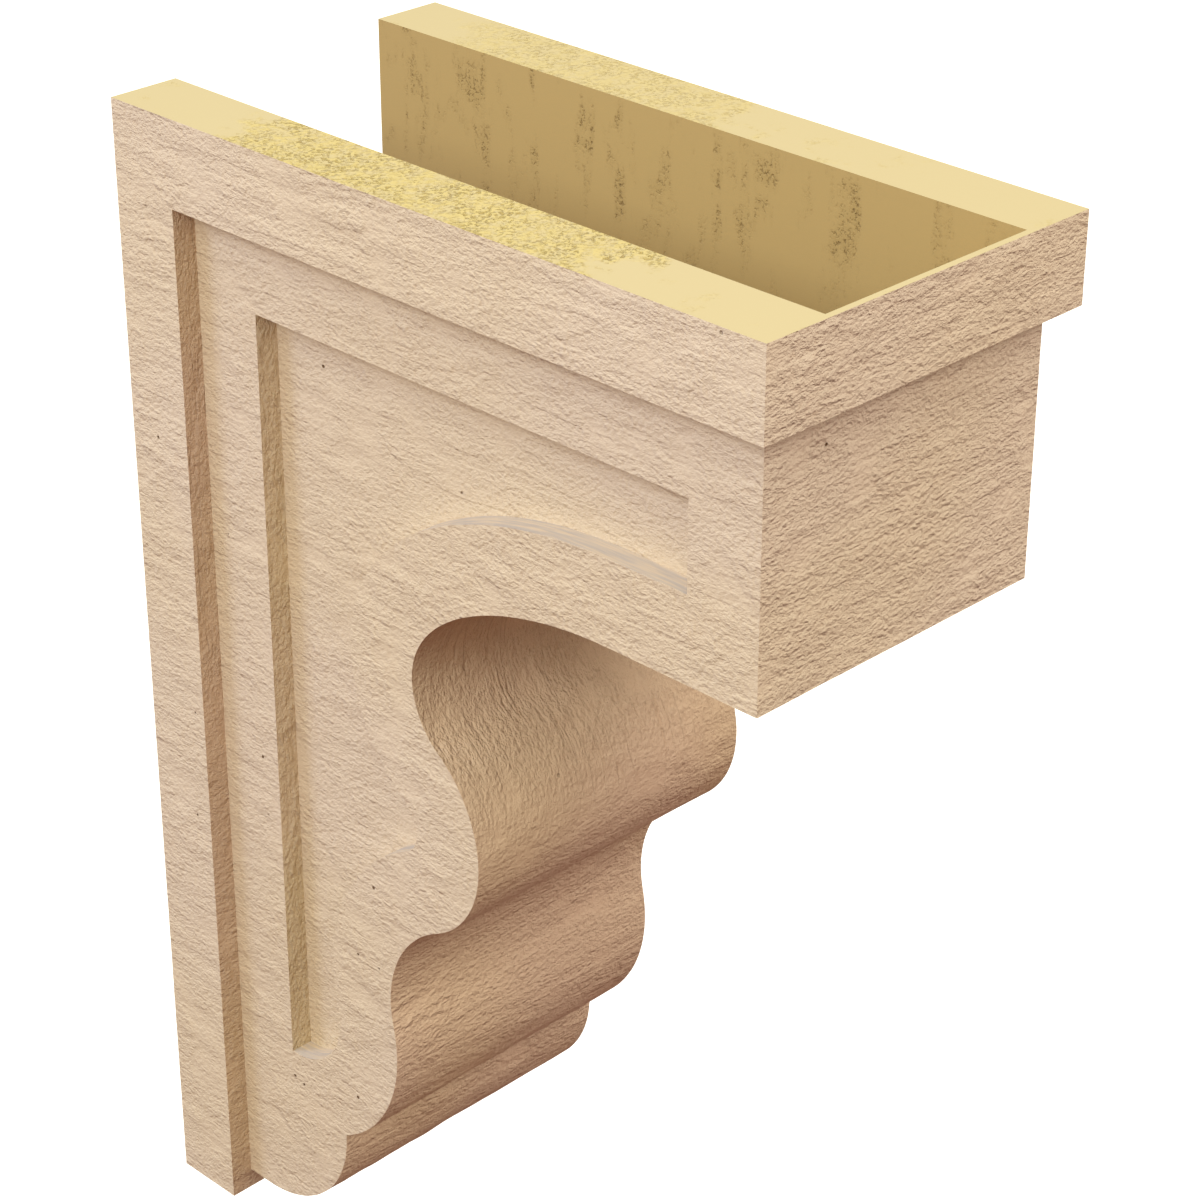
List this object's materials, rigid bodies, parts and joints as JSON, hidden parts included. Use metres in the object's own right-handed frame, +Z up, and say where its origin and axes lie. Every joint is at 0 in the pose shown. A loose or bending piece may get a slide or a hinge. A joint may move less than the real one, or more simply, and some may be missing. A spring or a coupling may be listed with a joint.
{
  "type": "corbel",
  "caption": "Hollow corbel shell with an S-curved front, plain cap band, back stiles and sunk side panels, open at the top and the back.",
  "frame": {"origin": "on the wall plane, in the middle of the back edge of the underside, 18 mm above the feet of the two back stiles", "axes": "+Y out of the back and into the wall, +Z up, +X to the right of a person facing the wall"},
  "size_m": [0.1524, 0.3048, 0.4572],
  "materials": {
    "tan_finish": "rigid polyurethane foam with a matt tan wood-look finish in rough-sawn relief outside; raw yellow foam on the rims and inside"
  },
  "bodies": {
    "root": {"corbel_shell": "tan_finish"}
  },
  "joints": []
}
